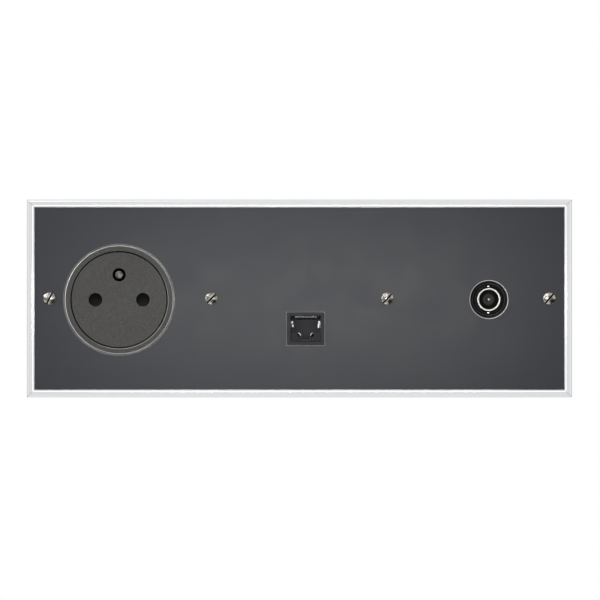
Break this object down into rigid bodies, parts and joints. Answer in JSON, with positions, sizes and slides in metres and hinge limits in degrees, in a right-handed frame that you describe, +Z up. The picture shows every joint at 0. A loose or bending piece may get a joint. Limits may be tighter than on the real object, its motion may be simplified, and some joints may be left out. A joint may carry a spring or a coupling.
{
  "type": "multimedia wall socket",
  "caption": "Wide wall plate with a chrome frame and dark panel, a flush sprung power outlet, a data jack and a bayonet coax jack.",
  "frame": {"origin": "On the wall plane, midway between the two outer fixing screws, which is the middle of the plate.", "axes": "X to the right as the user sees the plate, Y into the wall, Z up. The user looks along +Y."},
  "size_m": [0.218, 0.0453, 0.079],
  "materials": {
    "chrome": "polished",
    "steel": "satin",
    "panel": "satin",
    "nickel": "polished",
    "graphite": "fine grained satin",
    "natural": "matte",
    "brass": "satin",
    "spring": "bright drawn",
    "light_plastic": "matte",
    "data_plastic": "matte",
    "data_inner": "matte",
    "comb": "matte",
    "board": "gloss",
    "black": "matte",
    "contact": "polished",
    "dielectric": "waxy"
  },
  "bodies": {
    "base": {"trim_frame": "chrome", "backing_plate": "steel", "face_panel": "panel", "plate_screw_1": "nickel", "plate_screw_2": "nickel", "plate_screw_3": "nickel", "plate_screw_4": "nickel", "socket_collar": "graphite", "disc_spring": "spring", "earth_pin": "nickel", "live_contact_left": "contact", "live_contact_right": "contact", "socket_housing": "light_plastic", "socket_cover": "light_plastic", "cover_screw": "steel", "socket_bridge": "steel", "socket_rivet_left": "steel", "socket_rivet_right": "steel", "socket_nut_upper": "steel", "socket_nut_lower": "steel", "terminal_left": "brass", "terminal_right": "brass", "terminal_earth": "brass", "terminal_screw_left": "steel", "terminal_screw_right": "steel", "terminal_screw_earth": "steel", "data_bezel": "data_plastic", "data_shield": "spring", "data_insert": "data_inner", "data_comb": "comb", "data_latch_clip": "spring", "data_contact_1": "contact", "data_contact_2": "contact", "data_contact_3": "contact", "data_contact_4": "contact", "data_contact_5": "contact", "data_contact_6": "contact", "data_contact_7": "contact", "data_contact_8": "contact", "data_board": "board", "data_idc": "light_plastic", "data_wire_cap": "light_plastic", "data_nut_upper": "steel", "data_nut_lower": "steel", "coax_cup": "black", "coax_body": "nickel", "coax_insulator": "dielectric", "coax_contact": "contact", "coax_washer": "steel", "coax_tag": "steel", "coax_nut": "nickel", "coax_stud_nut_upper": "steel", "coax_stud_nut_lower": "steel"},
    "disc": {"socket_disc": "graphite", "shutter_tray": "natural", "shutter_spring": "spring"},
    "shutter": {"socket_shutter": "black"}
  },
  "joints": [
    {"name": "disc_press", "type": "slide", "parent": "base", "child": "disc", "axis": [0, 1, 0], "range_m": [0, 0.012], "stiffness_N_per_m": 400, "springref_m": -0.01, "deforming": ["disc_spring"]},
    {"name": "shutter_slide", "type": "slide", "parent": "disc", "child": "shutter", "axis": [0, 0, -1], "range_m": [0, 0.0064], "stiffness_N_per_m": 20, "springref_m": -0.01, "deforming": ["shutter_spring"]}
  ]
}
